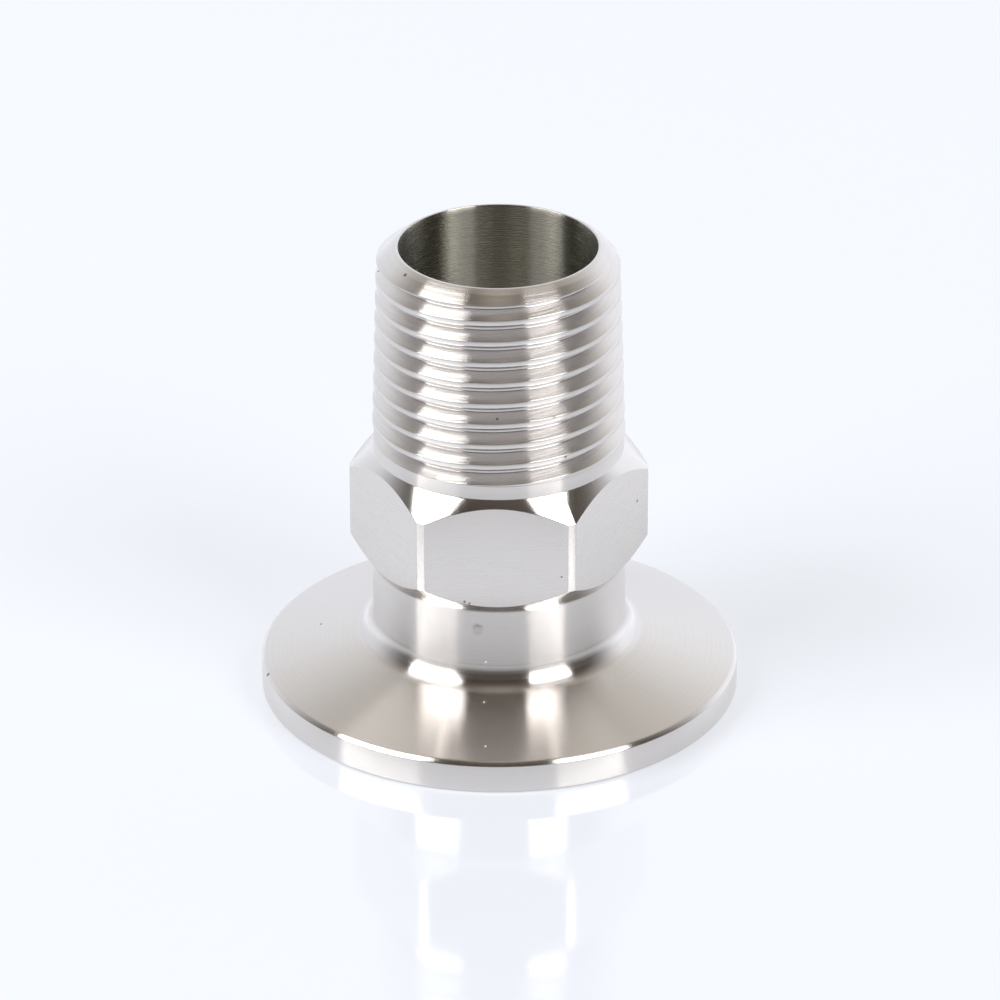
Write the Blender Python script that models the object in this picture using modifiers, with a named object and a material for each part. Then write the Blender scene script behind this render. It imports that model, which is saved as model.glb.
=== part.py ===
"""Vacuum flange adapter: a clamp flange, a neck, a hexagon and a taper pipe thread in one turned piece.

The part stands on its flange's sealing face, with the origin at the centre of that face and the bore's
axis on +Z. One flat of the hexagon faces -Y, the part's front. Sizes are in millimetres, and mm() turns
them into Blender's metres.
"""

import math

import bmesh
import bpy

# Clamp flange
FLANGE_DIAMETER = 40.0
RIM_HEIGHT = 2.48
RIM_CHAMFER = 0.3
SEAL_EDGE_BREAK = 0.15
FLANGE_BACK_ANGLE = 15.0

# Centring ring's seat in the sealing face
SEAT_DIAMETER = 26.2
SEAT_DEPTH = 3.0
SEAT_EDGE_BREAK = 0.2

# Bore
BORE_DIAMETER = 16.3
BORE_MOUTH_WIDENING = 0.08
BORE_MOUTH_DEPTH = 0.45
BORE_FOOT_BREAK = 0.3

# Neck between the flange and the hexagon
NECK_DIAMETER = 21.14
NECK_FOOT_STEP = 0.23
NECK_FOOT_FILLET = 1.85
NECK_HEAD_FILLET = 0.9

# Hexagon, milled on a turned collar
HEX_ACROSS_FLATS = 21.82
HEX_COLLAR_DIAMETER = 24.8
HEX_FLAT_FOOT = 12.55
HEX_FLAT_HEIGHT = 8.81
HEX_HEAD_CHAMFER = 45.0
HEX_FOOT_CHAMFER = 41.0

# Plain land between the hexagon and the thread
LAND_DIAMETER = 20.74
LAND_LENGTH = 1.3

# Taper pipe thread, right-handed, 14 threads to the inch with a 55 degree form
TOTAL_HEIGHT = 39.9
THREADS_PER_INCH = 14
THREAD_FORM_ANGLE = 55.0
THREAD_TAPER = 1.0 / 16.0
THREAD_FOOT_DIAMETER = 20.97
THREAD_CREST_WIDTH = 0.39
THREAD_ROOT_WIDTH = 0.3
THREAD_LOWEST_GROOVE = 0.65
THREAD_RUN_OUT_START = -120.0
THREAD_RUN_OUT_TURN = 90.0

# End of the thread: a lead chamfer, a flatter bevel above it and a narrow lip
LEAD_CHAMFER_ANGLE = 37.0
LIP_BEVEL_WIDTH = 0.53
LIP_BEVEL_DROP = 0.32
LIP_WIDTH = 0.13

# Facets, and what a cutter reaches past the metal
SIDES = 60
NECK_HEAD_STEPS = 3
NECK_FOOT_STEPS = 6
CUTTER_OVERRUN = 0.15
CUTTER_RIM = 2.0
WELD = 0.005
SMOOTH_BELOW = 25.0

# Values that follow from the sizes above
FLANGE_RADIUS = FLANGE_DIAMETER / 2
SEAT_RADIUS = SEAT_DIAMETER / 2
BORE_RADIUS = BORE_DIAMETER / 2
NECK_RADIUS = NECK_DIAMETER / 2
HEX_FLAT_RADIUS = HEX_ACROSS_FLATS / 2
HEX_COLLAR_RADIUS = HEX_COLLAR_DIAMETER / 2
LAND_RADIUS = LAND_DIAMETER / 2
THREAD_FOOT_RADIUS = THREAD_FOOT_DIAMETER / 2
THREAD_PITCH = 25.4 / THREADS_PER_INCH


def mm(value):
    return value / 1000.0


def slope(degrees):
    return math.tan(math.radians(degrees))


THREAD_FLANK = slope(THREAD_FORM_ANGLE / 2)
THREAD_DEPTH = (THREAD_PITCH - THREAD_CREST_WIDTH - THREAD_ROOT_WIDTH) / 2 / THREAD_FLANK
HEX_FLAT_HEAD = HEX_FLAT_FOOT + HEX_FLAT_HEIGHT
HEX_CORNER_FOOT = HEX_FLAT_FOOT + (HEX_COLLAR_RADIUS - HEX_FLAT_RADIUS) * slope(HEX_FOOT_CHAMFER)
HEX_CORNER_HEAD = HEX_FLAT_HEAD - (HEX_COLLAR_RADIUS - HEX_FLAT_RADIUS) * slope(HEX_HEAD_CHAMFER)
LAND_FOOT = HEX_FLAT_HEAD + (HEX_FLAT_RADIUS - LAND_RADIUS) * slope(HEX_HEAD_CHAMFER)
LAND_HEAD = LAND_FOOT + LAND_LENGTH
THREAD_RUN_OUT_END = THREAD_RUN_OUT_START - THREAD_RUN_OUT_TURN


def fillet(corner, before, after, radius, steps):
    """Points of a round of this radius in a corner between two straight lines of the profile."""
    start = (before[0] - corner[0], before[1] - corner[1])
    end = (after[0] - corner[0], after[1] - corner[1])
    start_length = math.hypot(*start)
    end_length = math.hypot(*end)
    start = (start[0] / start_length, start[1] / start_length)
    end = (end[0] / end_length, end[1] / end_length)
    half = math.acos(start[0] * end[0] + start[1] * end[1]) / 2
    to_centre = radius / math.sin(half) / math.hypot(start[0] + end[0], start[1] + end[1])
    centre = (corner[0] + (start[0] + end[0]) * to_centre, corner[1] + (start[1] + end[1]) * to_centre)
    run = radius / math.tan(half)
    first = (corner[0] + start[0] * run - centre[0], corner[1] + start[1] * run - centre[1])
    last = (corner[0] + end[0] * run - centre[0], corner[1] + end[1] * run - centre[1])
    first_angle = math.atan2(first[1], first[0])
    turn = math.remainder(math.atan2(last[1], last[0]) - first_angle, 2 * math.pi)
    angles = [first_angle + turn * step / steps for step in range(steps + 1)]
    return [(centre[0] + radius * math.cos(a), centre[1] + radius * math.sin(a)) for a in angles]


def crest_radius(height):
    """The thread's crests lie on a cone, which is widest at the land."""
    return THREAD_FOOT_RADIUS - (height - LAND_HEAD) * THREAD_TAPER / 2


def thread_end_profile():
    """From the lip down the lead chamfer and the uncut thread's cone to the land."""
    mouth_radius = BORE_RADIUS + BORE_MOUTH_WIDENING
    bevel_radius = mouth_radius + LIP_WIDTH + LIP_BEVEL_WIDTH
    bevel_foot = TOTAL_HEIGHT - LIP_BEVEL_DROP
    lead_slope = slope(LEAD_CHAMFER_ANGLE)
    lead_width = (crest_radius(bevel_foot) - bevel_radius) / (1 - lead_slope * THREAD_TAPER / 2)
    lead_foot = bevel_foot - lead_width * lead_slope
    return [
        (mouth_radius, TOTAL_HEIGHT),
        (mouth_radius + LIP_WIDTH, TOTAL_HEIGHT),
        (bevel_radius, bevel_foot),
        (crest_radius(lead_foot), lead_foot),
        (THREAD_FOOT_RADIUS, LAND_HEAD),
        (LAND_RADIUS, LAND_HEAD - (THREAD_FOOT_RADIUS - LAND_RADIUS)),
    ]


def hexagon_collar_profile():
    """The chamfered collar for the hexagon, whose lower chamfer runs into the neck through a round."""
    corner_foot = (HEX_COLLAR_RADIUS, HEX_CORNER_FOOT)
    neck_head = HEX_FLAT_FOOT - (HEX_FLAT_RADIUS - NECK_RADIUS) * slope(HEX_FOOT_CHAMFER)
    neck_round = fillet(
        (NECK_RADIUS, neck_head), corner_foot, (NECK_RADIUS, 0.0), NECK_HEAD_FILLET, NECK_HEAD_STEPS
    )
    return [(LAND_RADIUS, LAND_FOOT), (HEX_COLLAR_RADIUS, HEX_CORNER_HEAD), corner_foot] + neck_round


def flange_profile():
    """The neck's foot with its small step and round, the sloping back and the rim."""
    rim_inner = FLANGE_RADIUS - RIM_CHAMFER
    rim_head = RIM_HEIGHT + RIM_CHAMFER
    foot_radius = NECK_RADIUS + NECK_FOOT_STEP
    back_head = rim_head + (rim_inner - foot_radius) * slope(FLANGE_BACK_ANGLE)
    foot_round = fillet(
        (foot_radius, back_head),
        (foot_radius, TOTAL_HEIGHT),
        (rim_inner, rim_head),
        NECK_FOOT_FILLET,
        NECK_FOOT_STEPS,
    )
    neck_foot = foot_round[0][1] + NECK_FOOT_STEP
    return [(NECK_RADIUS, neck_foot)] + foot_round + [
        (rim_inner, rim_head),
        (FLANGE_RADIUS, RIM_HEIGHT),
        (FLANGE_RADIUS, SEAL_EDGE_BREAK),
        (FLANGE_RADIUS - SEAL_EDGE_BREAK, 0.0),
    ]


def seat_and_bore_profile():
    """Across the sealing face, round the centring ring's seat and up the bore to its mouth."""
    return [
        (SEAT_RADIUS + SEAT_EDGE_BREAK, 0.0),
        (SEAT_RADIUS, SEAT_EDGE_BREAK),
        (SEAT_RADIUS, SEAT_DEPTH),
        (BORE_RADIUS + BORE_FOOT_BREAK, SEAT_DEPTH),
        (BORE_RADIUS, SEAT_DEPTH + BORE_FOOT_BREAK),
        (BORE_RADIUS, TOTAL_HEIGHT - BORE_MOUTH_DEPTH),
    ]


def make_collection(name):
    group = bpy.data.collections.new(name)
    bpy.context.scene.collection.children.link(group)
    return group


def make_turned_blank(group):
    """The whole adapter as the lathe leaves it, before the flats and the thread are cut."""
    profile = thread_end_profile() + hexagon_collar_profile() + flange_profile() + seat_and_bore_profile()
    shape = bmesh.new()
    points = [shape.verts.new((mm(radius), 0.0, mm(height))) for radius, height in profile]
    for point, following in zip(points, points[1:] + points[:1]):
        shape.edges.new((point, following))
    mesh = bpy.data.meshes.new("flange_adapter")
    shape.to_mesh(mesh)
    shape.free()
    blank = bpy.data.objects.new("flange_adapter", mesh)
    group.objects.link(blank)
    turning = blank.modifiers.new("turning", "SCREW")
    turning.axis = "Z"
    turning.steps = SIDES
    turning.render_steps = SIDES
    turning.use_merge_vertices = True
    turning.merge_threshold = mm(WELD)
    return blank


def make_cutter(name, shape, group):
    bmesh.ops.recalc_face_normals(shape, faces=shape.faces[:])
    mesh = bpy.data.meshes.new(name)
    shape.to_mesh(mesh)
    shape.free()
    cutter = bpy.data.objects.new(name, mesh)
    cutter.hide_render = True
    cutter.display_type = "WIRE"
    group.objects.link(cutter)
    return cutter


def make_flats_cutter(group):
    """A ring with a hexagonal hole, which leaves six flats on the collar."""
    foot = HEX_FLAT_FOOT - CUTTER_OVERRUN
    head = HEX_FLAT_HEAD + CUTTER_OVERRUN
    corner_radius = HEX_FLAT_RADIUS / math.cos(math.pi / 6)
    rim_radius = HEX_COLLAR_RADIUS + CUTTER_RIM
    shape = bmesh.new()
    rings = []
    for radius in (corner_radius, rim_radius):
        angles = [side * math.pi / 3 for side in range(6)]
        rings.append([
            shape.verts.new((mm(radius) * math.cos(a), mm(radius) * math.sin(a), mm(foot))) for a in angles
        ])
    hole, rim = rings
    for side in range(6):
        shape.faces.new((hole[side - 1], hole[side], rim[side], rim[side - 1]))
    lifted = bmesh.ops.extrude_face_region(shape, geom=shape.faces[:])["geom"]
    upper = [item for item in lifted if isinstance(item, bmesh.types.BMVert)]
    bmesh.ops.translate(shape, verts=upper, vec=(0.0, 0.0, mm(head - foot)))
    return make_cutter("flats_cutter", shape, group)


def thread_section(turn):
    """The groove's outline as (radius, height), a number of degrees up the helix from the lowest front."""
    middle = LAND_HEAD + THREAD_LOWEST_GROOVE + THREAD_PITCH * turn / 360.0
    withdrawn = min(max((THREAD_RUN_OUT_START - turn) / THREAD_RUN_OUT_TURN, 0.0), 1.0)
    reach = THREAD_DEPTH + CUTTER_OVERRUN
    root_radius = crest_radius(middle) - THREAD_DEPTH + reach * withdrawn
    root_half = THREAD_ROOT_WIDTH / 2
    back_half = root_half + reach * THREAD_FLANK
    return [
        (root_radius, middle - root_half),
        (root_radius, middle + root_half),
        (root_radius + reach, middle + back_half),
        (root_radius + reach, middle - back_half),
    ]


def make_thread_cutter(group):
    """The thread's groove as a right-handed helix on the cone, withdrawn from the metal above the land."""
    step = 360.0 / SIDES
    top_height = TOTAL_HEIGHT + THREAD_PITCH / 2
    top_turn = 360.0 * (top_height - LAND_HEAD - THREAD_LOWEST_GROOVE) / THREAD_PITCH
    first_step = math.ceil(top_turn / step)
    last_step = math.floor(THREAD_RUN_OUT_END / step)

    def place(corners, turn):
        angle = math.radians(turn - 90.0)
        for corner, (radius, height) in zip(corners, thread_section(turn)):
            corner.co = (mm(radius) * math.cos(angle), mm(radius) * math.sin(angle), mm(height))

    shape = bmesh.new()
    corners = [shape.verts.new() for _ in thread_section(0.0)]
    place(corners, first_step * step)
    start_cap = shape.faces.new(corners)
    section = start_cap
    for index in range(first_step - 1, last_step - 1, -1):
        grown = bmesh.ops.extrude_face_region(shape, geom=[section])["geom"]
        if section != start_cap:
            bmesh.ops.delete(shape, geom=[section], context="FACES_ONLY")
        copies = {tuple(item.co): item for item in grown if isinstance(item, bmesh.types.BMVert)}
        corners = [copies[tuple(corner.co)] for corner in corners]
        section = next(item for item in grown if isinstance(item, bmesh.types.BMFace))
        place(corners, index * step)
    return make_cutter("thread_cutter", shape, group)


def cut(part, cutter, name):
    operation = part.modifiers.new(name, "BOOLEAN")
    operation.operation = "DIFFERENCE"
    operation.solver = "EXACT"
    operation.object = cutter


def finish_surface(part):
    """Makes the cuts final, joins points that they leave all but touching, and shades the rounds smooth."""
    view = bpy.context.evaluated_depsgraph_get()
    mesh = bpy.data.meshes.new_from_object(part.evaluated_get(view))
    part.modifiers.clear()
    shape = bmesh.new()
    shape.from_mesh(mesh)
    bmesh.ops.remove_doubles(shape, verts=shape.verts[:], dist=mm(WELD))
    shape.to_mesh(mesh)
    shape.free()
    mesh.shade_smooth()
    mesh.set_sharp_from_angle(angle=math.radians(SMOOTH_BELOW))
    part.data = mesh


def make_steel():
    steel = bpy.data.materials.new("machined_stainless")
    steel.use_nodes = True
    shader = steel.node_tree.nodes["Principled BSDF"]
    shader.inputs["Base Color"].default_value = (0.66, 0.64, 0.61, 1.0)
    shader.inputs["Metallic"].default_value = 1.0
    shader.inputs["Roughness"].default_value = 0.22
    return steel


def main():
    for item in list(bpy.data.objects):
        bpy.data.objects.remove(item)
    parts = make_collection("vacuum_flange_adapter")
    cutters = make_collection("cutters")
    adapter = make_turned_blank(parts)
    adapter.data.materials.append(make_steel())
    cut(adapter, make_flats_cutter(cutters), "milled_flats")
    cut(adapter, make_thread_cutter(cutters), "cut_thread")
    finish_surface(adapter)


main()
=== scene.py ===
import math

import bpy
from mathutils import Matrix, Vector


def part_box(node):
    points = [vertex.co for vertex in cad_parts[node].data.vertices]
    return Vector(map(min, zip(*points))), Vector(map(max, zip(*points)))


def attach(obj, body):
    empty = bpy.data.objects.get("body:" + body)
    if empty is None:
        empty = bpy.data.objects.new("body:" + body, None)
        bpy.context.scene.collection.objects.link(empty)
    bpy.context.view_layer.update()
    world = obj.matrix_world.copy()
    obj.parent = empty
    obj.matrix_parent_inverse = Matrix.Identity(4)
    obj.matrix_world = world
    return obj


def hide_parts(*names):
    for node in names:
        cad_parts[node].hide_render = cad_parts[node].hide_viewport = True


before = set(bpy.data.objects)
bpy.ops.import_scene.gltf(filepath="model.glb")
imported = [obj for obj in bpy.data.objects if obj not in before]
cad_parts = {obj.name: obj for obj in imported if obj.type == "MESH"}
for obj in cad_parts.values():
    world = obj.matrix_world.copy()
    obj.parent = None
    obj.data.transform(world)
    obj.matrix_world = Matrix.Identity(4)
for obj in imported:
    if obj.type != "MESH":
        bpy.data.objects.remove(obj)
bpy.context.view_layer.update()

bl_info = {
    "name": "Vacuum flange adapter",
    "version": (1, 0, 0),
    "blender": (4, 5, 0),
    "location": "3D View > Sidebar > Adapter",
    "description": "Turns, mills and threads a vacuum flange adapter and sets it on a pale table",
    "category": "Object",
}

MM = 0.001
NODE = "flange_adapter"
NODE_LOW, NODE_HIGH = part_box(NODE)

# Slopes of the hexagon's chamfers, of its foot down to the neck, of the lead chamfer and of the flanks
HEX_HEAD_ANGLE = 45.0
HEX_FOOT_ANGLE = 41.0
NECK_HEAD_ANGLE = 53.0
LEAD_ANGLE = 37.0
FLANK_ANGLE = 27.5

# The turn over which the thread runs out, in degrees from the front
RUN_OUT_START = -120.0
RUN_OUT_END = -210.0

# How much the thread's radius loses for each unit of height
TAPER = 1.0 / 32.0

# The camera, as solved from the photograph, whose frame is 1000 pixels wide
FRAME_PX = 1000.0
FOCAL_PX = 6197.3
SHIFT_PX = 1.04
CAMERA_AZIMUTH = 1.2
CAMERA_ELEVATION = 26.824
CAMERA_ROLL = -0.19
CAMERA_DISTANCE = 515.4 * MM
CAMERA_TARGET_HEIGHT = 16.69 * MM
SENSOR_MM = 36.0

# The inputs and the output of a Mix node that mixes colours
MIX_UNDER = 6
MIX_OVER = 7
MIX_RESULT = 2

# The studio's light from level to straight up: (sine of the elevation, colour)
FRONT_ROOM = [
    (0.0, (0.055, 0.045, 0.037)),
    (0.5, (0.038, 0.029, 0.023)),
    (0.86, (0.048, 0.035, 0.026)),
    (0.93, (0.105, 0.085, 0.068)),
    (0.98, (0.2, 0.18, 0.155)),
    (1.0, (0.58, 0.54, 0.47)),
]
BACK_ROOM = [
    (0.0, (0.86, 0.90, 1.0)),
    (0.4, (0.86, 0.88, 0.92)),
    (0.7, (0.60, 0.58, 0.55)),
    (1.0, (0.62, 0.58, 0.51)),
]

# Small marks: (angle round the axis in degrees, radius, height and size in mm)
GRIT = [
    (-5.0, 10.55, 7.05, 0.1),  # under the dent on the neck
    (-4.5, 12.95, 4.6, 0.1),  # flange's back, near the neck
    (-2.5, 17.95, 3.25, 0.1),  # flange's back, near the rim
]
# Small spots coloured much darker than the steel round them
DARK_SPOTS = [
    (-13.5, 11.2, 12.85, 0.14),  # front flat's lower edge
    (-11.5, 11.15, 12.7, 0.12),
    (-96.5, 15.2, 4.0, 0.14),  # flange's back, on the left
    (0.5, 9.85, 29.0, 0.14),  # thread's front
    (27.0, 10.3, 28.85, 0.12),
    (32.5, 10.45, 25.1, 0.14),
    (80.5, 11.65, 17.65, 0.16),  # right flat
    (26.0, 12.15, 15.2, 0.1),  # front flat's right corner
    (-76.0, 19.85, 2.65, 0.22),  # flange's rim, on the left
    (-90.5, 9.75, 37.55, 0.2),  # lead chamfer, on the left
    (-56.0, 8.95, 39.55, 0.2),
]
# The dent is a shallow bump that is also coloured darker, as painted shade.
DENTS_WITH_PAINTED_SHADE = [(-8.5, 10.55, 10.0, 0.55)]  # neck's front


def slope(degrees):
    """Rise for each unit of run."""
    return math.tan(math.radians(degrees))


# Sizes and colours that a user may change


def length(name, description, default):
    return bpy.props.FloatProperty(
        name=name, description=description, default=default, min=0.0, precision=5, unit="LENGTH"
    )


def angle(name, description, degrees):
    return bpy.props.FloatProperty(
        name=name, description=description, default=math.radians(degrees), subtype="ANGLE"
    )


def colour(name, description, default):
    return bpy.props.FloatVectorProperty(
        name=name, description=description, default=default, size=3, min=0.0, max=1.0, subtype="COLOR"
    )


def share(name, description, default):
    return bpy.props.FloatProperty(
        name=name, description=description, default=default, min=0.0, max=1.0, subtype="FACTOR"
    )


def strength(name, description, default):
    return bpy.props.FloatProperty(name=name, description=description, default=default, min=0.0)


class AdapterSizes(bpy.types.PropertyGroup):
    """The adapter's own sizes."""

    flange_diameter: length("Flange diameter", "Across the clamp flange", NODE_HIGH[0] - NODE_LOW[0])
    height: length("Height", "From the sealing face to the lip", NODE_HIGH[2] - NODE_LOW[2])
    rim_height: length("Rim height", "Straight part of the flange's rim", 2.48 * MM)
    rim_chamfer: length("Rim chamfer", "Chamfer between the rim and the flange's back", 0.3 * MM)
    back_angle: angle("Back angle", "Slope of the flange's back", 15.0)
    seat_diameter: length("Seat diameter", "Centring ring's seat in the sealing face", 26.2 * MM)
    seat_depth: length("Seat depth", "Depth of the centring ring's seat", 3.0 * MM)
    bore_diameter: length("Bore diameter", "Through bore", 16.3 * MM)
    neck_diameter: length("Neck diameter", "Between the flange and the hexagon", 21.14 * MM)
    neck_step: length("Neck step", "Fine tool mark at the neck's foot", 0.02 * MM)
    across_flats: length("Across flats", "Hexagon from flat to flat", 21.82 * MM)
    collar_diameter: length("Collar diameter", "Turned collar under the hexagon's flats", 24.79 * MM)
    flat_foot: length("Flat's foot", "Lowest point of each flat above the sealing face", 12.46 * MM)
    flat_height: length("Flat's height", "Height of each flat at its middle", 8.90 * MM)
    land_diameter: length("Land diameter", "Plain land between the hexagon and the thread", 20.74 * MM)
    land_length: length("Land length", "Length of the plain land", 1.3 * MM)
    thread_diameter: length("Thread diameter", "Over the crests at the land", 20.97 * MM)
    thread_pitch: length("Thread pitch", "Height of one turn", 25.4 / 14 * MM)
    thread_depth: length("Thread depth", "From the crests to the root", 1.10 * MM)
    facets: bpy.props.IntProperty(
        name="Facets", description="Steps round the bore's axis", default=288, min=24
    )


class SteelFinish(bpy.types.PropertyGroup):
    """Colour and gloss of the steel."""

    steel: colour("Steel", "Colour of the bare steel", (0.755, 0.723, 0.698))
    ridge_roughness: share("Ridge roughness", "Roughness between the turning marks", 0.19)
    groove_roughness: share("Groove roughness", "Roughness of the turning marks", 0.235)
    mark_pitch: length("Mark pitch", "Width of one turning mark", 0.06 * MM)
    turned_streak: share("Turned streak", "Stretch of the glints across the turning marks", 1.0)
    milled_roughness: share("Milled roughness", "Roughness of the hexagon's flats", 0.3)
    # Painted shade: the bore is coloured darker than the bare steel to stand for the shade inside it, not
    # for a film of oil.
    bore_painted_shade: colour("Bored steel", "Colour of the bore, which keeps a film of oil", (0.53, 0.52, 0.465))


class StageLook(bpy.types.PropertyGroup):
    """Table, room and lamps."""

    table: colour("Table", "Colour of the glossy table", (0.315, 0.335, 0.385))
    table_glow: strength("Table glow", "Light that comes up through the table", 0.5)
    lamp_left: strength("Left lamp", "Strength of the left soft box", 7.9)
    lamp_right: strength("Right lamp", "Strength of the right soft box", 8.5)


# Modelling steps


def new_object():
    """The object that an operator has just added."""
    return bpy.context.view_layer.objects.active


def select_only(piece):
    """Selects one object and makes it active."""
    bpy.ops.object.select_all(action="DESELECT")
    piece.select_set(True)
    bpy.context.view_layer.objects.active = piece


def edit(piece, kind="VERT"):
    select_only(piece)
    bpy.ops.object.mode_set(mode="EDIT")
    bpy.ops.mesh.select_mode(type=kind)


def leave_edit():
    bpy.ops.object.mode_set(mode="OBJECT")


def pick(piece, test, kind="VERT"):
    """Selects only the points, edges or faces that pass a test, and leaves the piece in edit mode."""
    edit(piece, kind)
    bpy.ops.mesh.select_all(action="DESELECT")
    leave_edit()
    mesh = piece.data
    parts = {"VERT": mesh.vertices, "EDGE": mesh.edges, "FACE": mesh.polygons}[kind]
    for part in parts:
        part.select = test(part)
    edit(piece, kind)


def finish_modifier(piece, modifier):
    """Applies a modifier to a piece."""
    select_only(piece)
    bpy.ops.object.modifier_apply(modifier=modifier.name)


def draw_profile(name, corners):
    """Draws a closed outline in the XZ plane by extruding a point, then rounds its corners.

    Each corner is (radius, height, length of the round along each side, steps in the round)."""
    bpy.ops.object.select_all(action="DESELECT")
    bpy.ops.mesh.primitive_plane_add(size=MM)
    piece = new_object()
    piece.name = name
    edit(piece)
    bpy.ops.mesh.select_all(action="SELECT")
    bpy.ops.mesh.merge(type="CENTER")
    here = (0.0, 0.0)
    for index, (radius, height, _, _) in enumerate(corners):
        move = (radius - here[0], 0.0, height - here[1])
        if index:
            bpy.ops.mesh.extrude_vertices_move(TRANSFORM_OT_translate={"value": move})
        else:
            bpy.ops.transform.translate(value=move)
        here = (radius, height)
    leave_edit()
    ends = (Vector((corners[0][0], 0.0, corners[0][1])), Vector((corners[-1][0], 0.0, corners[-1][1])))
    pick(piece, lambda point: min((point.co - end).length for end in ends) < 0.001 * MM)
    bpy.ops.mesh.edge_face_add()
    leave_edit()
    for size, steps in sorted({corner[2:] for corner in corners if corner[2]}):
        places = [Vector((c[0], 0.0, c[1])) for c in corners if c[2:] == (size, steps)]
        pick(piece, lambda point: min((point.co - place).length for place in places) < 0.001 * MM)
        bpy.ops.mesh.bevel(offset=size, segments=steps, affect="VERTICES")
        leave_edit()
    return piece


def land_head_of(sizes):
    """Height of the land's upper end, where the thread's cone starts."""
    flat_head = sizes.flat_foot + sizes.flat_height
    shoulder = (sizes.across_flats - sizes.land_diameter) / 2
    return flat_head + shoulder * slope(HEX_HEAD_ANGLE) + sizes.land_length


def turned_corners(sizes):
    """The adapter's section, from the lip down the outside and back up the bore."""
    height = sizes.height
    bore = sizes.bore_diameter / 2
    neck = sizes.neck_diameter / 2
    flat = sizes.across_flats / 2
    collar = sizes.collar_diameter / 2
    land = sizes.land_diameter / 2
    crest = sizes.thread_diameter / 2
    rim = sizes.flange_diameter / 2
    seat = sizes.seat_diameter / 2
    flat_head = sizes.flat_foot + sizes.flat_height
    land_head = land_head_of(sizes)

    mouth = bore + 0.04 * MM
    mouth_depth = 0.45 * MM
    lip_width = 0.2 * MM
    bevel = mouth + 0.72 * MM
    bevel_foot = height - 0.32 * MM
    crest_here = crest - (bevel_foot - land_head) * TAPER
    lead_width = (crest_here - bevel) / (1.0 - slope(LEAD_ANGLE) * TAPER)
    inner_rim = rim - sizes.rim_chamfer
    rim_head = sizes.rim_height + sizes.rim_chamfer
    foot = neck + sizes.neck_step
    back_head = rim_head + (inner_rim - foot) * math.tan(sizes.back_angle)
    fillet = 1.6 * MM
    step_height = 0.12 * MM
    face_break = 0.2 * MM
    bore_break = 0.3 * MM

    sharp = (0.0, 0)
    lip = (0.03 * MM, 2)
    inner_edge = (0.05 * MM, 2)
    edge = (0.05 * MM, 3)
    soft_edge = (0.06 * MM, 3)
    round_edge = (0.1 * MM, 3)
    return [
        (mouth, height, *lip),
        (mouth + lip_width, height, *lip),
        (bevel, bevel_foot, *edge),
        (bevel + lead_width, bevel_foot - lead_width * slope(LEAD_ANGLE), *soft_edge),
        (crest, land_head, *edge),
        (land, land_head - (crest - land), *sharp),
        (land, land_head - sizes.land_length, *soft_edge),
        (collar, flat_head - (collar - flat) * slope(HEX_HEAD_ANGLE), *edge),
        (collar, sizes.flat_foot + (collar - flat) * slope(HEX_FOOT_ANGLE), *edge),
        (neck, sizes.flat_foot - (flat - neck) * slope(NECK_HEAD_ANGLE), 0.41 * MM, 6),
        (neck, back_head + fillet + step_height, *sharp),
        (foot, back_head + fillet, *sharp),
        (foot, back_head, fillet - 0.01 * MM, 14),
        (inner_rim, rim_head, *round_edge),
        (rim, sizes.rim_height, *soft_edge),
        (rim, face_break, *edge),
        (rim - face_break, 0.0, *edge),
        (seat + face_break, 0.0, *inner_edge),
        (seat, face_break, *inner_edge),
        (seat, sizes.seat_depth, *round_edge),
        (bore + bore_break, sizes.seat_depth, *inner_edge),
        (bore, sizes.seat_depth + bore_break, *inner_edge),
        (bore, height - mouth_depth, *sharp),
    ]


def turn(piece, facets):
    """Turns an outline about the bore's axis."""
    edit(piece)
    bpy.ops.mesh.select_all(action="SELECT")
    bpy.ops.mesh.spin(steps=facets, angle=2.0 * math.pi, center=(0.0, 0.0, 0.0), axis=(0.0, 0.0, 1.0))
    bpy.ops.mesh.select_all(action="SELECT")
    bpy.ops.mesh.remove_doubles(threshold=0.0005 * MM)
    bpy.ops.mesh.normals_make_consistent(inside=False)
    leave_edit()


def mill_flat(piece, sizes, side):
    """Cuts one flat on the collar with a plane and fills the cut."""
    outward = Vector((math.sin(side * math.pi / 3), -math.cos(side * math.pi / 3), 0.0))
    foot = sizes.flat_foot - 0.15 * MM
    head = sizes.flat_foot + sizes.flat_height + 0.1 * MM

    def on_collar(face):
        level = foot < face.center.z < head
        return level and face.center.dot(outward) > 0.0 and radius_of(face) > sizes.neck_diameter / 2

    pick(piece, on_collar, "FACE")
    bpy.ops.mesh.bisect(
        plane_co=outward * sizes.across_flats / 2, plane_no=outward, use_fill=True, clear_outer=True,
        threshold=0.0001 * MM,
    )
    leave_edit()


def radius_of(face):
    """Distance from a face's middle to the bore's axis."""
    return math.hypot(face.center.x, face.center.y)


def on_flat(face, sizes):
    """True for the faces that the flats' cutter left."""
    height = face.center.z
    if not sizes.flat_foot - MM < height < sizes.flat_foot + sizes.flat_height + MM:
        return False
    turn_angle = math.atan2(face.normal.x, -face.normal.y)
    off = math.remainder(turn_angle, math.pi / 3)
    return abs(face.normal.z) < 0.001 and abs(off) < 0.0005 and face.area > 20.0 * MM * MM


def in_bore(face, sizes):
    """True for the faces of the bore."""
    level = sizes.seat_depth < face.center.z < sizes.height - 0.1 * MM
    return level and radius_of(face) < sizes.bore_diameter / 2 + 0.1 * MM


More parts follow.
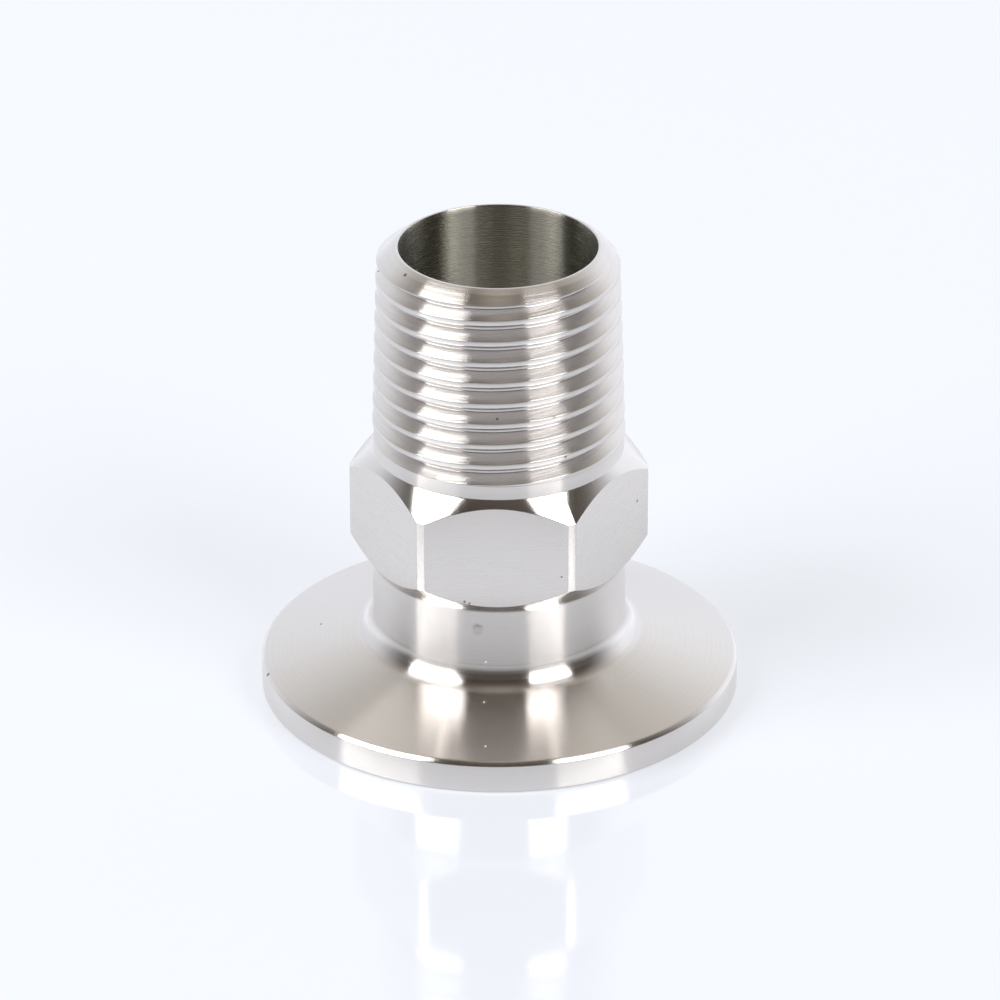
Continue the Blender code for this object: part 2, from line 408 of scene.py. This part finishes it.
def groove_corners(sizes):
    """The threading tool's outline, closed outside the metal, at the height of the sealing face."""
    wide = widest_crest(sizes)
    root = wide - sizes.thread_depth
    root_half = 0.12 * MM
    edge_half = root_half + sizes.thread_depth * slope(FLANK_ANGLE)
    over = 0.03 * MM
    out_half = edge_half + over * slope(76.0)
    root_round = (0.06 * MM, 3)
    crest_round = (0.025 * MM, 2)
    return [
        (root, -root_half, *root_round),
        (root, root_half, *root_round),
        (wide, edge_half, *crest_round),
        (wide + over, out_half, 0.0, 0),
        (wide + over, -out_half, 0.0, 0),
        (wide, -edge_half, *crest_round),
    ]


def widest_crest(sizes):
    """Radius that the thread's cone would have at the height of the sealing face."""
    return sizes.thread_diameter / 2 + land_head_of(sizes) * TAPER


def taper_and_run_out(cutter, sizes, foot):
    """Narrows the cutter with height and draws its last quarter turn out of the metal."""
    wide = widest_crest(sizes)
    reach = sizes.thread_depth + 0.1 * MM
    places = [0.0] * (3 * len(cutter.data.vertices))
    cutter.data.vertices.foreach_get("co", places)
    for index in range(0, len(places), 3):
        x, y, z = places[index:index + 3]
        climbed = (z - foot) / sizes.thread_pitch
        part_turn = math.atan2(y, x) / (2.0 * math.pi)
        up = RUN_OUT_END + 360.0 * (round(climbed - part_turn) + part_turn)
        out = min(max((RUN_OUT_START - up) / (RUN_OUT_START - RUN_OUT_END), 0.0), 1.0)
        radius = math.hypot(x, y)
        grown = (radius * (1.0 - z * TAPER / wide) + reach * out) / radius
        places[index] = x * grown
        places[index + 1] = y * grown
    cutter.data.vertices.foreach_set("co", places)


def make_groove_cutter(sizes):
    """Sweeps the tool's outline up a right-handed helix and tapers it."""
    pitch = sizes.thread_pitch
    cutter = draw_profile("groove_cutter", groove_corners(sizes))
    low_front = land_head_of(sizes) + 0.81 * MM
    foot = low_front + pitch * RUN_OUT_END / 360.0
    turns = math.ceil((sizes.height + pitch / 2 - low_front) / pitch - RUN_OUT_END / 360.0)
    edit(cutter)
    bpy.ops.mesh.select_all(action="SELECT")
    bpy.ops.transform.translate(value=(0.0, 0.0, foot))
    leave_edit()
    sweep = cutter.modifiers.new("helix", "SCREW")
    sweep.axis = "Z"
    sweep.steps = sizes.facets
    sweep.render_steps = sizes.facets
    sweep.iterations = turns
    sweep.screw_offset = pitch
    finish_modifier(cutter, sweep)
    edit(cutter)
    bpy.ops.mesh.select_all(action="SELECT")
    bpy.ops.mesh.fill_holes(sides=0)
    bpy.ops.mesh.select_all(action="SELECT")
    bpy.ops.mesh.normals_make_consistent(inside=False)
    leave_edit()
    taper_and_run_out(cutter, sizes, foot)
    cutter.data.transform(Matrix.Rotation(math.radians(RUN_OUT_END - 90.0), 4, "Z"))
    return cutter


def cut_with(piece, cutter):
    """Cuts a piece with another and deletes the cutter."""
    cut = piece.modifiers.new("cut", "BOOLEAN")
    cut.operation = "DIFFERENCE"
    cut.solver = "MANIFOLD"
    cut.object = cutter
    finish_modifier(piece, cut)
    select_only(cutter)
    bpy.ops.object.delete()


# Materials


def new_material(name):
    """A material with its node tree and its Principled shader."""
    material = bpy.data.materials.new(name)
    material.use_nodes = True
    tree = material.node_tree
    return material, tree, tree.nodes["Principled BSDF"]


def turning_marks(tree, pitch):
    """Fine rings round the axis, as a lathe tool leaves them on upright and on level faces."""
    place = tree.nodes.new("ShaderNodeTexCoord")
    split = tree.nodes.new("ShaderNodeSeparateXYZ")
    tree.links.new(place.outputs["Object"], split.inputs[0])
    radius = tree.nodes.new("ShaderNodeVectorMath")
    radius.operation = "LENGTH"
    flat = tree.nodes.new("ShaderNodeCombineXYZ")
    tree.links.new(split.outputs["X"], flat.inputs["X"])
    tree.links.new(split.outputs["Y"], flat.inputs["Y"])
    tree.links.new(flat.outputs[0], radius.inputs[0])
    along = tree.nodes.new("ShaderNodeMath")
    along.operation = "ADD"
    tree.links.new(split.outputs["Z"], along.inputs[0])
    tree.links.new(radius.outputs["Value"], along.inputs[1])
    rings = tree.nodes.new("ShaderNodeTexNoise")
    rings.noise_dimensions = "1D"
    rings.inputs["Scale"].default_value = 1.0 / pitch
    rings.inputs["Detail"].default_value = 1.0
    tree.links.new(along.outputs[0], rings.inputs["W"])
    return rings.outputs[0]


def nudged_place(tree, reach):
    """Object coordinates, pushed about by up to a reach, so that a mark's edge is ragged."""
    place = tree.nodes.new("ShaderNodeTexCoord")
    ragged = tree.nodes.new("ShaderNodeTexNoise")
    ragged.inputs["Scale"].default_value = 9000.0
    tree.links.new(place.outputs["Object"], ragged.inputs["Vector"])
    shift = tree.nodes.new("ShaderNodeVectorMath")
    shift.operation = "MULTIPLY_ADD"
    shift.inputs[1].default_value = (reach, reach, reach)
    tree.links.new(ragged.outputs["Color"], shift.inputs[0])
    tree.links.new(place.outputs["Object"], shift.inputs[2])
    return shift.outputs[0]


def spots(tree, marks):
    """1 on small marks and 0 elsewhere, with marks listed as GRIT is."""
    reach = 0.1 * MM
    half = Vector((reach, reach, reach)) / 2
    place = nudged_place(tree, reach)
    total = None
    for azimuth, radius, height, size in marks:
        gap = tree.nodes.new("ShaderNodeVectorMath")
        gap.operation = "DISTANCE"
        level = Vector((0.0, 0.0, height * MM))
        gap.inputs[1].default_value = direction(azimuth, 0.0) * radius * MM + level + half
        tree.links.new(place, gap.inputs[0])
        fade = tree.nodes.new("ShaderNodeMapRange")
        fade.inputs["From Min"].default_value = size * MM
        fade.inputs["From Max"].default_value = 0.5 * size * MM
        tree.links.new(gap.outputs["Value"], fade.inputs["Value"])
        total = larger(tree, total, fade.outputs[0]) if total else fade.outputs[0]
    return total


def larger(tree, one, other):
    """The larger of two values."""
    both = tree.nodes.new("ShaderNodeMath")
    both.operation = "MAXIMUM"
    tree.links.new(one, both.inputs[0])
    tree.links.new(other, both.inputs[1])
    return both.outputs[0]


def blend(tree, amount, under, over):
    """Lays a colour over another; each is a colour or another node's output."""
    mix = tree.nodes.new("ShaderNodeMix")
    mix.data_type = "RGBA"
    tree.links.new(amount, mix.inputs["Factor"])
    for slot, tint in ((MIX_UNDER, under), (MIX_OVER, over)):
        if isinstance(tint, tuple):
            mix.inputs[slot].default_value = (*tint, 1.0)
        else:
            tree.links.new(tint, mix.inputs[slot])
    return mix.outputs[MIX_RESULT]


def shade_of(tint, amount):
    """A colour made lighter or darker."""
    return tuple(amount * part for part in tint)


def wear_and_painted_shade_colour(tree, shader, tint, lines):
    """Steel with faint tool lines, a dent darkened with painted shade, small dark spots and pale specks of
    grit.
    """
    dark_spot_colour = (0.2, 0.17, 0.14)
    grit_colour = (0.8, 0.78, 0.75)
    grit = spots(tree, GRIT)
    lined = blend(tree, between(tree, lines, 0.0, 1.0), shade_of(tint, 0.985), shade_of(tint, 1.01))
    # Painted shade: the dent is coloured darker than the steel round it.
    dent_painted_shade = blend(tree, spots(tree, DENTS_WITH_PAINTED_SHADE), lined, shade_of(tint, 0.87))
    # Small spots coloured much darker than the steel.
    dark_spotted = blend(tree, spots(tree, DARK_SPOTS), dent_painted_shade, dark_spot_colour)
    tree.links.new(blend(tree, grit, dark_spotted, grit_colour), shader.inputs["Base Color"])
    bare = tree.nodes.new("ShaderNodeMath")
    bare.operation = "SUBTRACT"
    bare.inputs[0].default_value = 1.0
    tree.links.new(grit, bare.inputs[1])
    tree.links.new(bare.outputs[0], shader.inputs["Metallic"])


def relief(tree, shader, height, depth):
    """Raises a surface by a depth where a value is 1."""
    bump = tree.nodes.new("ShaderNodeBump")
    bump.inputs["Distance"].default_value = depth
    tree.links.new(height, bump.inputs["Height"])
    tree.links.new(bump.outputs[0], shader.inputs["Normal"])


def streaks(tree, scale):
    """Noise with a scale of its own along each axis."""
    place = tree.nodes.new("ShaderNodeTexCoord")
    stretch = tree.nodes.new("ShaderNodeMapping")
    stretch.inputs["Scale"].default_value = scale
    tree.links.new(place.outputs["Object"], stretch.inputs["Vector"])
    noise = tree.nodes.new("ShaderNodeTexNoise")
    noise.inputs["Scale"].default_value = 1.0
    noise.inputs["Detail"].default_value = 2.0
    tree.links.new(stretch.outputs[0], noise.inputs["Vector"])
    return noise.outputs[0]


def between(tree, noise, low, high):
    """Spreads a noise over a range."""
    spread = tree.nodes.new("ShaderNodeMapRange")
    spread.inputs["From Min"].default_value = 0.4
    spread.inputs["From Max"].default_value = 0.6
    spread.inputs["To Min"].default_value = low
    spread.inputs["To Max"].default_value = high
    tree.links.new(noise, spread.inputs["Value"])
    return spread.outputs[0]


def turned_steel(finish, name, tint, rougher=0.0):
    """Lathe-turned steel, with rings round the axis and glints stretched across them."""
    material, tree, shader = new_material(name)
    marks = turning_marks(tree, finish.mark_pitch)
    wear_and_painted_shade_colour(tree, shader, tint, turning_marks(tree, 1.6 * finish.mark_pitch))
    low = finish.ridge_roughness + rougher
    high = finish.groove_roughness + rougher
    tree.links.new(between(tree, marks, low, high), shader.inputs["Roughness"])
    shader.inputs["Anisotropic"].default_value = finish.turned_streak
    shader.inputs["Anisotropic Rotation"].default_value = 0.25
    tangent = tree.nodes.new("ShaderNodeTangent")
    tangent.direction_type = "RADIAL"
    tangent.axis = "Z"
    tree.links.new(tangent.outputs["Tangent"], shader.inputs["Tangent"])
    return material, tree, shader


def dented_steel(finish):
    """The turned faces' steel, with the shallow dent on the neck."""
    material, tree, shader = turned_steel(finish, "turned_steel", tuple(finish.steel))
    relief(tree, shader, spots(tree, DENTS_WITH_PAINTED_SHADE), -0.03 * MM)
    return material


def bore_steel_painted_shade(finish):
    """The bore's steel, darkened with painted shade, with the chatter of the boring tool."""
    material, tree, shader = turned_steel(finish, "bore_steel_painted_shade", tuple(finish.bore_painted_shade), 0.04)
    relief(tree, shader, streaks(tree, (1500.0, 1500.0, 4500.0)), 0.007 * MM)
    return material


def milled_steel(finish):
    """The flats' steel, with the level lines of the milling cutter."""
    material, tree, shader = new_material("milled_steel")
    lines = streaks(tree, (160.0, 160.0, 6500.0))
    wear_and_painted_shade_colour(tree, shader, tuple(finish.steel), lines)
    swing = 0.03
    gloss = between(tree, lines, finish.milled_roughness - swing, finish.milled_roughness + swing)
    tree.links.new(gloss, shader.inputs["Roughness"])
    relief(tree, shader, lines, 0.0013 * MM)
    return material


# Operators


class ADAPTER_OT_body(bpy.types.Operator):
    """Turn the adapter from bar, mill its hexagon and cut its taper pipe thread"""

    bl_idname = "adapter.body"
    bl_label = "Adapter body"

    def execute(self, context):
        sizes = context.scene.adapter_sizes
        finish = context.scene.adapter_finish
        piece = draw_profile("adapter_body", turned_corners(sizes))
        turn(piece, sizes.facets)
        cut_with(piece, make_groove_cutter(sizes))
        for side in range(6):
            mill_flat(piece, sizes, side)
        pick(piece, lambda face: on_flat(face, sizes), "FACE")
        bpy.ops.mesh.region_to_loop()
        bpy.ops.mesh.bevel(offset=0.035 * MM, segments=2, affect="EDGES", clamp_overlap=False)
        leave_edit()
        piece.data.materials.clear()
        piece.data.materials.append(dented_steel(finish))
        for material, test in ((milled_steel(finish), on_flat), (bore_steel_painted_shade(finish), in_bore)):
            piece.data.materials.append(material)
            pick(piece, lambda face: test(face, sizes), "FACE")
            piece.active_material_index = len(piece.data.materials) - 1
            bpy.ops.object.material_slot_assign()
            leave_edit()
        select_only(piece)
        bpy.ops.object.shade_smooth_by_angle(angle=math.radians(40.0))
        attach(piece, "root")
        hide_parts(NODE)
        return {"FINISHED"}


class ADAPTER_OT_stage(bpy.types.Operator):
    """Lay the table, hang the lamps and set the camera"""

    bl_idname = "adapter.stage"
    bl_label = "Table, lamps and camera"

    def execute(self, context):
        look = context.scene.adapter_stage
        bpy.ops.object.select_all(action="DESELECT")
        bpy.ops.mesh.primitive_plane_add(size=6.0)
        table = new_object()
        table.name = "table"
        material, _, shader = new_material("glossy_table")
        shader.inputs["Base Color"].default_value = (*look.table, 1.0)
        shader.inputs["Roughness"].default_value = 0.08
        shader.inputs["Emission Color"].default_value = (0.96, 0.98, 1.0, 1.0)
        shader.inputs["Emission Strength"].default_value = look.table_glow
        table.data.materials.append(material)
        make_room(context)
        make_lamps(look)
        make_camera(context)
        return {"FINISHED"}


def direction(azimuth, elevation):
    """A unit vector; azimuth 0 is towards the camera's side, and positive to the right."""
    a, e = math.radians(azimuth), math.radians(elevation)
    return Vector((math.sin(a) * math.cos(e), -math.cos(a) * math.cos(e), math.sin(e)))


def make_room(context):
    """Colours the studio round the table: bright behind, dim in front, brighter on the right."""
    world = bpy.data.worlds.new("studio")
    context.scene.world = world
    world.use_nodes = True
    tree = world.node_tree
    shader = tree.nodes["Background"]
    place = tree.nodes.new("ShaderNodeTexCoord")
    split = tree.nodes.new("ShaderNodeSeparateXYZ")
    tree.links.new(place.outputs["Generated"], split.inputs[0])
    front = ramp(tree, split.outputs["Z"], FRONT_ROOM)
    back = ramp(tree, split.outputs["Z"], BACK_ROOM)
    behind = tree.nodes.new("ShaderNodeMapRange")
    behind.interpolation_type = "SMOOTHSTEP"
    behind.inputs["From Min"].default_value = -0.12
    behind.inputs["From Max"].default_value = 0.66
    tree.links.new(split.outputs["Y"], behind.inputs["Value"])
    tree.links.new(blend(tree, behind.outputs[0], front, back), shader.inputs["Color"])
    across = tree.nodes.new("ShaderNodeMapRange")
    across.inputs["From Min"].default_value = -1.0
    across.inputs["To Min"].default_value = 0.95
    across.inputs["To Max"].default_value = 1.35
    tree.links.new(split.outputs["X"], across.inputs["Value"])
    tree.links.new(across.outputs[0], shader.inputs["Strength"])


def ramp(tree, value, steps):
    """A colour ramp over a value; each step is (place, (red, green, blue))."""
    node = tree.nodes.new("ShaderNodeValToRGB")
    stops = node.color_ramp.elements
    while len(stops) < len(steps):
        stops.new(0.5)
    for stop, (place, tint) in zip(stops, steps):
        stop.position = place
        stop.color = (*tint, 1.0)
    tree.links.new(value, node.inputs[0])
    return node.outputs[0]


def make_lamp(name, azimuth, elevation, lean, size, power):
    """Hangs a soft box one metre from the adapter, facing it and leaning sideways."""
    width, height = size
    bpy.ops.object.light_add(type="AREA")
    lamp = new_object()
    lamp.name = name
    lamp.data.shape = "RECTANGLE"
    lamp.data.size = width
    lamp.data.size_y = height
    lamp.data.energy = power * width * height * math.pi
    lamp.data.color = (1.0, 0.99, 0.98)
    away = direction(azimuth, elevation)
    lamp.location = away + Vector((0.0, 0.0, 0.02))
    facing = away.to_track_quat("Z", "Y").to_matrix() @ Matrix.Rotation(math.radians(lean), 3, "Z")
    lamp.rotation_euler = facing.to_euler()


def make_lamps(look):
    """The soft boxes on both sides of the camera."""
    make_lamp(
        "soft_box_left", azimuth=-64.0, elevation=40.0, lean=20.0, size=(0.65, 0.6), power=look.lamp_left
    )
    make_lamp(
        "soft_box_right", azimuth=49.0, elevation=37.0, lean=-20.0, size=(0.52, 0.5), power=look.lamp_right
    )


def make_camera(context):
    """Sets the camera where the photograph was taken from."""
    target = Vector((0.0, 0.0, CAMERA_TARGET_HEIGHT))
    away = direction(CAMERA_AZIMUTH, CAMERA_ELEVATION)
    place = target + away * CAMERA_DISTANCE
    bpy.ops.object.camera_add(location=place)
    camera = new_object()
    camera.name = "camera"
    camera.data.sensor_width = SENSOR_MM
    camera.data.lens = FOCAL_PX / FRAME_PX * SENSOR_MM
    camera.data.shift_x = SHIFT_PX / FRAME_PX
    camera.data.clip_start = 0.01
    camera.data.clip_end = 20.0
    aim = away.to_track_quat("Z", "Y").to_matrix().to_4x4()
    roll = Matrix.Rotation(math.radians(CAMERA_ROLL), 4, "Z")
    camera.matrix_world = Matrix.Translation(place) @ aim @ roll
    context.scene.camera = camera
    context.scene.view_settings.view_transform = "Standard"


class ADAPTER_PT_panel(bpy.types.Panel):
    """Sizes, finish and stage of the adapter"""

    bl_idname = "ADAPTER_PT_panel"
    bl_label = "Vacuum flange adapter"
    bl_space_type = "VIEW_3D"
    bl_region_type = "UI"
    bl_category = "Adapter"

    def draw(self, context):
        scene = context.scene
        for group in (scene.adapter_sizes, scene.adapter_finish, scene.adapter_stage):
            box = self.layout.box()
            for name in group.__annotations__:
                box.prop(group, name)
        self.layout.operator(ADAPTER_OT_body.bl_idname)
        self.layout.operator(ADAPTER_OT_stage.bl_idname)


CLASSES = (AdapterSizes, SteelFinish, StageLook, ADAPTER_OT_body, ADAPTER_OT_stage, ADAPTER_PT_panel)


def register():
    for item in CLASSES:
        bpy.utils.register_class(item)
    bpy.types.Scene.adapter_sizes = bpy.props.PointerProperty(type=AdapterSizes)
    bpy.types.Scene.adapter_finish = bpy.props.PointerProperty(type=SteelFinish)
    bpy.types.Scene.adapter_stage = bpy.props.PointerProperty(type=StageLook)


def unregister():
    del bpy.types.Scene.adapter_stage
    del bpy.types.Scene.adapter_finish
    del bpy.types.Scene.adapter_sizes
    for item in reversed(CLASSES):
        bpy.utils.unregister_class(item)


def main():
    register()
    bpy.ops.adapter.body()
    bpy.ops.adapter.stage()


if __name__ == "__main__":
    main()
